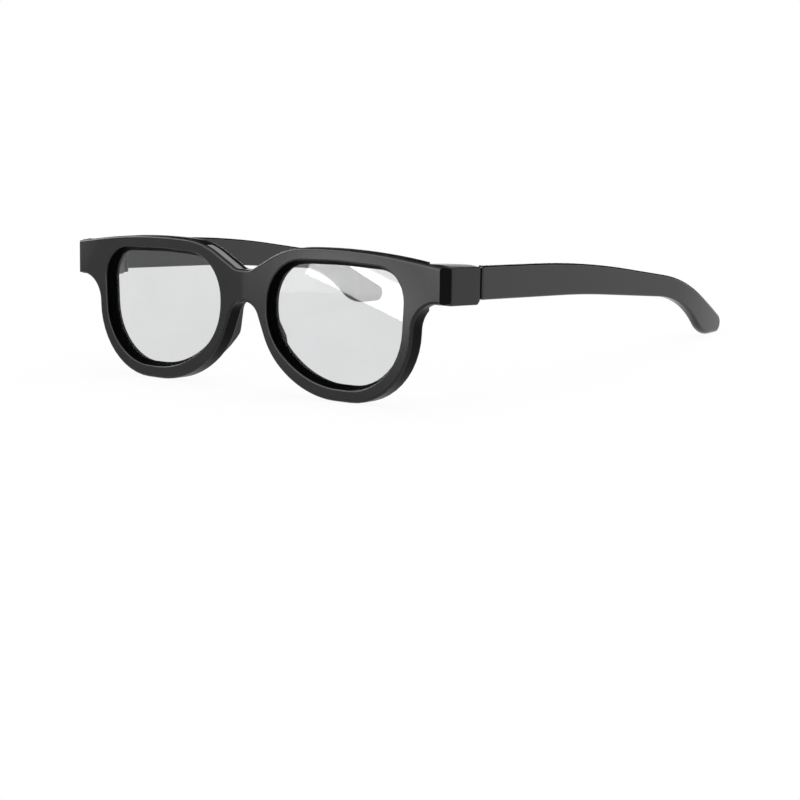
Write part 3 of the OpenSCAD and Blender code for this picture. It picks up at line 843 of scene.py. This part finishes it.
def makeBlock(name, mirrored):
    bm = bmesh.new()
    low = blockBase
    fall = hingeShape["fall"]
    under = hingeShape["under"]
    cut = hingeShape["chamfer"]
    sideView = [(blockFront, low), (blockEnd - cut, low - under), (blockEnd, low - under + cut),
                (blockEnd, crownTop - fall), (blockFront, crownTop)]
    prism(bm, sideView, blockLow.x, halfWidth, lambda y, z, x: Vector((x, y, z)))
    faceOutwards(bm)
    obj = toObject(bm, name)
    plan = bmesh.new()
    taper = blockFront + (blockEnd - blockFront) * hingeShape["full"]
    start = blockFront - hingeShape["past"]
    end = blockEnd + hingeShape["past"]
    side = halfWidth + hingeShape["past"]
    inner = hingeX - hingeShape["knuckle"]
    tall = cutterShape["tall"]
    prism(plan, [(blockLow.x, start), (side, start), (side, end), (inner, end), (inner, blockEnd),
                 (blockLow.x, taper)], -tall, tall, lambda x, y, z: Vector((x, y, z)))
    faceOutwards(plan)
    carve(obj, toObject(plan, "cutter"), "INTERSECT")
    roof = bmesh.new()
    steep = hingeShape["crown"] / hingeShape["slope"]
    drop = fall / (blockEnd - blockFront)
    ends = []
    for y in (start, end):
        z = crownTop - drop * (y - blockFront)
        above = z + hingeShape["roof"]
        ridge = halfWidth - hingeShape["slope"]
        ends.append(addRing(roof, [(ridge, y, z), (side, y, z - hingeShape["crown"] - steep),
                                   (side, y, above), (ridge, y, above)]))
    joinRings(roof, ends)
    roof.faces.new(ends[0])
    roof.faces.new(ends[1])
    faceOutwards(roof)
    carve(obj, toObject(roof, "cutter"))
    bm = bmesh.new()
    bm.from_mesh(obj.data)
    flat = math.radians(hingeShape["flat"])
    bmesh.ops.dissolve_limit(bm, angle_limit=flat, verts=bm.verts, edges=bm.edges)
    edges = [e for e in bm.edges if e.calc_face_angle(0) > math.radians(hingeShape["softenFrom"])]
    bmesh.ops.bevel(bm, geom=edges, offset=hingeShape["soften"], segments=hingeShape["softenSteps"],
                    profile=roundBevel, affect="EDGES")
    bm.to_mesh(obj.data)
    bm.free()
    relief = bmesh.new()
    half = hingeShape["middle"] / 2 + hingeShape["clear"]
    reach = hingeShape["knuckle"] + hingeShape["swing"]
    gapLow = hingeMid - half
    gapHigh = hingeMid + half
    sweep = [(0, gapLow), (reach, gapLow), (reach, gapHigh), (0, gapHigh)]
    lathe(relief, sweep, Vector((hingeX, hingeY, 0)))
    faceOutwards(relief)
    carve(obj, toObject(relief, "cutter"))
    bm = bmesh.new()
    bm.from_mesh(obj.data)
    addKnuckles(bm, gapLow, gapHigh)
    bm.to_mesh(obj.data)
    bm.free()
    finishMesh(obj, mirrored)
    return obj


def addKnuckles(bm, gapLow, gapHigh):
    outer = hingeShape["knuckle"]
    bore = hingeShape["pin"]
    seat = hingeShape["head"] + lensShape["seat"]
    sill = blockBase + hingeShape["headThick"] + lensShape["seat"]
    top = blockTop - hingeShape["step"]
    blind = blockTop - hingeShape["cover"]
    lower = [(outer, blockBase), (outer, gapLow), (bore, gapLow), (bore, sill), (seat, sill),
             (seat, blockBase)]
    upper = [(0, top), (outer, top), (outer, gapHigh), (bore, gapHigh), (bore, blind), (0, blind)]
    for profile in (lower, upper):
        part = bmesh.new()
        lathe(part, softProfile(profile, hingeShape["edge"]), Vector((hingeX, hingeY, 0)))
        faceOutwards(part)
        addPart(bm, part)


for side in ("left", "right"):
    dress(makeBlock(side + "HingeBlock", side == "right"), blockBlack, "front", "black_satin",
          side + "_hinge_block")
    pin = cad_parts[side + "_hinge_pin"]
    pin.data.materials.clear()
    pin.data.materials.append(steelPin)
print("hinge blocks made")


# Temples: drawn from the hinge axis, rounded along both edges, curled inwards behind the ear

templeShape = {"length": 138, "height": 9.8, "rise": 0.8, "thick": 3, "splay": 1,
               "edge": 0.55, "tipEdge": 1.3, "edgeSteps": 5, "hold": 0.12,
               "bend": 108, "bendLead": 1, "bendTop": 9.5, "bendLow": 5.8, "bendRadius": 76,
               "bowReach": 57, "bowFall": 1.3, "bowRadius": 400, "drop": 25.4,
               "paddle": 17.4, "paddleLow": 3.6, "paddleHigh": 0.2, "paddleSlope": 4.6, "paddleRadius": 4.5,
               "heelRadius": 27, "corner": 0.8, "curl": 185, "curlLead": 7, "slice": 2,
               "heelWide": 0.7, "heelHigh": 1.8, "heelIn": 1.2, "stop": 0.05, "root": 0.5}


def templeOutline():
    t = templeShape
    top = frontShape["endTop"] + t["rise"]
    low = top - t["height"]
    near = hingeShape["gap"] / 2
    tip = top - t["drop"]
    return roundedOutline([
        (near, low, t["corner"]),
        (t["bend"] - t["bowReach"], low - t["bowFall"], t["bowRadius"]),
        (t["bend"] - t["bendLead"], low - t["bendLow"], t["bendRadius"]),
        (t["length"] - t["paddle"], tip - t["paddleLow"], t["heelRadius"]),
        (t["length"] - t["paddleSlope"], tip - t["paddleLow"], t["paddleRadius"]),
        (t["length"], tip + t["paddleHigh"], t["paddleRadius"]),
        (t["bend"], top - t["bendTop"], t["bendRadius"]),
        (t["bend"] - t["bowReach"], top - t["bowFall"], t["bowRadius"]),
        (near + lensShape["seat"], top, t["corner"])])


def curledX(depth, y):
    outer = halfWidth - hingeX
    start = templeShape["bend"] - templeShape["curlLead"]
    if y <= start:
        return outer - depth
    radius = templeShape["curl"]
    return outer - radius + math.sqrt((radius - depth) ** 2 - (y - start) ** 2)


def addBox(bm, low, high, soften, steps=2):
    part = bmesh.new()
    corners = [(low[0], low[1]), (high[0], low[1]), (high[0], high[1]), (low[0], high[1])]
    prism(part, corners, low[2], high[2], lambda x, y, z: Vector((x, y, z)))
    faceOutwards(part)
    bmesh.ops.bevel(part, geom=part.edges[:], offset=soften, segments=steps, profile=roundBevel,
                    affect="EDGES")
    addPart(bm, part)


# The edges get rounder from the start of the curl to the paddle

def tipGrowth(y):
    start = templeShape["bend"] - templeShape["curlLead"]
    share = min(1, max(0, (y - start) / (templeShape["length"] - templeShape["paddle"] - start)))
    return 1 + (templeShape["tipEdge"] / templeShape["edge"] - 1) * share


def makeTemple(name, mirrored):
    t = templeShape
    outline = templeOutline()
    edge = t["edge"]
    rounding = quarterRound(edge, t["edgeSteps"])
    profile = [(0, 0, -edge, -t["hold"])] + [(d, 0, out - edge, 0) for out, d in rounding]
    profile += [(edge, t["hold"], 0, 0)]
    bm = bmesh.new()
    inward = growOutline(outline, -1)  # a millimetre in, for the direction that each point grows in
    outerRings = []
    innerRings = []
    for depth, hold, grow, inset in profile:
        outer = []
        inner = []
        for p, q in zip(outline, inward):
            wide = tipGrowth(p.x)
            place = p + (p - q) * (grow * wide + inset)
            outer.append((depth * wide + hold, place.x, place.y))
            inner.append((t["thick"] - depth * wide - hold, place.x, place.y))
        outerRings.append(addRing(bm, outer))
        innerRings.append(addRing(bm, inner))
    rings = outerRings + innerRings[::-1]
    joinRings(bm, rings)
    fillLoops(bm, rings[0])
    fillLoops(bm, rings[-1])
    cleanMesh(bm)
    y = t["bend"] - t["curlLead"]
    while y < t["length"]:
        everything = bm.verts[:] + bm.edges[:] + bm.faces[:]
        bmesh.ops.bisect_plane(bm, geom=everything, dist=weld, plane_co=(0, y, 0), plane_no=(0, 1, 0))
        y += t["slice"]
    for v in bm.verts:
        v.co.x = curledX(v.co.x, v.co.y)
    faceOutwards(bm)
    obj = toObject(bm, name)
    middle = frontShape["endTop"] - frontShape["endHeight"] / 2
    half = hingeShape["middle"] / 2
    reach = hingeShape["knuckle"] + hingeShape["swing"]
    tall = cutterShape["tall"]
    for z0, z1 in ((-tall, middle - half), (middle + half, tall)):
        relief = bmesh.new()
        lathe(relief, [(0, z0), (reach, z0), (reach, z1), (0, z1)], Vector((0, 0, 0)))
        faceOutwards(relief)
        carve(obj, toObject(relief, "cutter"))
    bm = bmesh.new()
    bm.from_mesh(obj.data)
    bore = hingeShape["pin"] + hingeShape["pinPlay"]
    knuckle = hingeShape["knuckle"]
    low = middle - half
    high = middle + half
    soft = hingeShape["edge"]
    part = bmesh.new()
    ring = softProfile([(knuckle, low), (knuckle, high), (bore, high), (bore, low)], soft)
    lathe(part, ring, Vector((0, 0, 0)))
    faceOutwards(part)
    addPart(bm, part)
    root = halfWidth - hingeX - t["thick"] + t["root"]
    addBox(bm, (bore, bore, low), (root, knuckle + t["thick"] / 2, high), soft)
    top = frontShape["endTop"] + t["rise"]
    heel = reach + lensShape["seat"]
    gap = hingeShape["gap"] / 2
    for z in (top - t["height"] + t["heelIn"], top - t["heelIn"] - t["heelHigh"]):
        far = (heel + t["heelWide"], gap + t["heelWide"], z + t["heelHigh"])
        addBox(bm, (heel, t["stop"] - gap, z), far, soft)
    splay = Matrix.Rotation(math.radians(-t["splay"]), 4, "Z")
    place = Matrix.Translation((hingeX, hingeY, lensMid)) @ splay
    bmesh.ops.transform(bm, matrix=place, verts=bm.verts)
    bm.to_mesh(obj.data)
    bm.free()
    finishMesh(obj, mirrored)
    return obj


for side in ("left", "right"):
    dress(makeTemple(side + "Temple", side == "right"), templeBlack, side + "_arm", "black_satin",
          side + "_temple")
print("temples made")


# Floor: a white sheet under the rims and the temple tips, keeping a faint shadow

floorShape = {"size": 6, "heel": 3.2, "tipIn": 6, "white": 0.93, "near": 0.12, "far": 0.3,
              "albedo": (0.85, 0.85, 0.85, 1)}


def makeFloor():
    tipLow, tipHigh = boxMm("left_temple")
    heel = floorShape["heel"]
    rise = math.atan2(tipLow.z - frontLow.z, tipHigh.y - floorShape["tipIn"] - heel)
    bm = bmesh.new()
    bmesh.ops.create_grid(bm, x_segments=2, y_segments=2, size=floorShape["size"])
    lift = Matrix.Translation((0, heel * mm, frontLow.z * mm)) @ Matrix.Rotation(rise, 4, "X")
    bmesh.ops.transform(bm, matrix=lift, verts=bm.verts)
    floor = toObject(bm, "floorSheet")
    material, shade = newMaterial("floorWhite")
    light = shade.node("ShaderNodeLightPath", {}, {}, "Is Camera Ray")
    seen = shade.larger(light, shade.part(light, "Is Transmission Ray"))
    seen = shade.larger(seen, shade.part(light, "Is Glossy Ray"))
    matte = shade.node("ShaderNodeBsdfDiffuse", {}, {"Color": floorShape["albedo"]})
    glow = shade.node("ShaderNodeEmission", {}, {"Color": (1, 1, 1, 1), "Strength": 1})
    away = shade.node("ShaderNodeVectorMath", {"operation": "LENGTH"}, {0: shade.objectPlace()}, "Value")
    white = shade.spread(away, floorShape["near"], floorShape["far"], floorShape["white"], 1)
    surface(shade, shade.node("ShaderNodeMixShader", {}, {0: seen * white, 1: matte, 2: glow}))
    floor.data.materials.append(material)


makeFloor()


# Studio: white all round for the camera and through the lenses; reflections see the white floor
# and a low white backdrop, and above it a dim room with one large panel at the front left and
# smaller ones around

studioLook = {
    "room": 0.015, "fill": 0.45, "backdrop": (0.02, 0.08),
    "panel": 5, "panelLeft": -43, "leftFade": (-0.02, 0.05), "panelRight": -8, "rightFade": (-0.05, 0.05),
    "topFade": (0.25, 0.45), "rearFade": (-0.1, 0)}

# Each panel has its power and, for each axis of the direction seen, where it fades in and out
rearBand = {"y": ((0.3, 0.6), None), "z": (None, (0.12, 0.2))}
studioPanels = {
    "leftWall": (0.22, {"x": (None, (-0.5, -0.25)), "y": (None, (0, 0.3))}),
    "farLeft": (0.8, {"x": (None, (-0.92, -0.84))}),
    "rightWall": (0.8, {"x": ((0.8, 0.88), None), "y": ((-0.2, -0.08), None)}),
    "frontStrip": (7, {"x": (None, (-0.25, -0.1)), "y": (None, (0, 0.15)),
                       "z": ((0.33, 0.4), (0.6, 0.68))}),
    "frontPanel": (0.7, {"x": ((-0.35, -0.2), (0.4, 0.52)), "y": (None, (-0.45, -0.3)),
                         "z": (None, (0.45, 0.55))}),
    "ceiling": (1, {"z": ((0.8, 0.9), None)}),
    "rearAll": (0.17, rearBand),
    "rearLeft": (3, dict(rearBand, x=(None, (-0.35, -0.2)))),
    "rearRight": (0.36, dict(rearBand, x=((0.22, 0.28), None))),
    "hingePane": (3, dict(rearBand, x=((0.48, 0.63), (0.64, 0.7)))),
    "tipPane": (3, dict(rearBand, x=((0.26, 0.33), (0.42, 0.52))))}


def panelLight(shade, axes, power, reach):
    light = power
    for axis, (rise, fall) in reach.items():
        if rise:
            light = shade.spread(axes[axis], *rise, 0, 1) * light
        if fall:
            light = shade.spread(axes[axis], *fall, 1, 0) * light
    return light


def makeStudio():
    world = bpy.data.worlds.new("studio")
    bpy.context.scene.world = world
    world.use_nodes = True
    world.cycles.sampling_method = "NONE"
    shade = Shade(world.node_tree)
    look = studioLook
    direction = shade.node("ShaderNodeTexCoord", {}, {}, "Generated")
    split = shade.node("ShaderNodeSeparateXYZ", {}, {"Vector": direction})
    x = shade.part(split, "X")
    y = shade.part(split, "Y")
    z = shade.part(split, "Z")
    left = math.radians(look["panelLeft"])
    right = math.radians(look["panelRight"])
    pastLeft = x * math.cos(left) + y * math.sin(left)
    pastRight = x * math.cos(right) + y * math.sin(right)
    panel = shade.spread(pastLeft, *look["leftFade"], 0, 1)
    panel = panel * shade.spread(pastRight, *look["rightFade"], 1, 0)
    panel = panel * shade.spread(z, *look["topFade"], 1, 0) * shade.spread(y, *look["rearFade"], 1, 0)
    reflected = look["room"] + panel * look["panel"]
    for power, reach in studioPanels.values():
        reflected = reflected + panelLight(shade, {"x": x, "y": y, "z": z}, power, reach)
    reflected = reflected + shade.spread(z, *look["backdrop"], 1, 0)
    light = shade.node("ShaderNodeLightPath", {}, {}, "Is Camera Ray")
    unmirrored = shade.node("ShaderNodeMath", {"operation": "LESS_THAN"},
                            {0: shade.part(light, "Glossy Depth"), 1: 0.5})  # no reflection on the way
    paper = shade.larger(light, shade.part(light, "Is Transmission Ray") * unmirrored)
    glossy = shade.part(light, "Is Glossy Ray")
    strength = paper + (1 - paper) * (glossy * reflected + (1 - glossy) * look["fill"])
    background = shade.node("ShaderNodeBackground", {}, {"Color": (1, 1, 1, 1), "Strength": strength})
    shade.node("ShaderNodeOutputWorld", {}, {"Surface": background})


makeStudio()


def addLamp(name, place, target, size, energy, roll=0, mirrored=False):
    lamp = bpy.data.lights.new(name, "AREA")
    lamp.shape = "RECTANGLE"
    lamp.size = size[0]
    lamp.size_y = size[1]
    lamp.energy = energy
    obj = bpy.data.objects.new(name, lamp)
    aim = Vector(target) - Vector(place)
    turn = aim.to_track_quat("-Z", "Y").to_matrix().to_4x4()
    turn = turn @ Matrix.Rotation(math.radians(roll), 4, "Z")
    obj.matrix_world = Matrix.Translation(place) @ turn
    obj.visible_camera = False
    obj.visible_glossy = mirrored
    bpy.context.collection.objects.link(obj)


# Place, target, size in metres, watts; the strip is also turned, and shows in the near lens
lampSet = {
    "overheadBox": ((0.1, 0.1, 1.1), (0, 0.05, 0), (1.0, 1.0), 9),
    "frontLeftBox": ((-0.55, -0.95, 0.25), (0, 0, 0), (0.6, 0.8), 5),
    "rearRightBox": ((0.9, 0.8, 0.5), (0, 0.05, 0), (0.6, 0.6), 4),
    "lensStrip": ((-0.073, -0.158, -0.0115), (0.046, 0.001, 0.006), (0.05, 0.012), 0.017, -26, True)}
for name, lamp in lampSet.items():
    addLamp(name, *lamp)
print("studio made")


# Camera where the photograph was taken, found from the two halves being mirror images

cameraShape = {"place": (428.4, -456.4, 58.8), "yaw": 38.97, "pitch": 8.11, "roll": 0.83,
               "lens": 93.71, "sensor": 36, "clip": 0.01}


def makeCamera():
    camera = bpy.data.cameras.new("camera")
    camera.sensor_width = cameraShape["sensor"]
    camera.lens = cameraShape["lens"]
    camera.clip_start = cameraShape["clip"]
    yaw = math.radians(cameraShape["yaw"])
    pitch = math.radians(cameraShape["pitch"])
    roll = math.radians(cameraShape["roll"])
    turn = Matrix.Rotation(yaw, 4, "Z") @ Matrix.Rotation(math.pi / 2 - pitch, 4, "X")
    turn = turn @ Matrix.Rotation(roll, 4, "Z")
    obj = bpy.data.objects.new("camera", camera)
    obj.matrix_world = Matrix.Translation(Vector(cameraShape["place"]) * mm) @ turn
    bpy.context.collection.objects.link(obj)
    bpy.context.scene.camera = obj


makeCamera()
bpy.context.scene.view_settings.view_transform = "Standard"

print("scene ready")
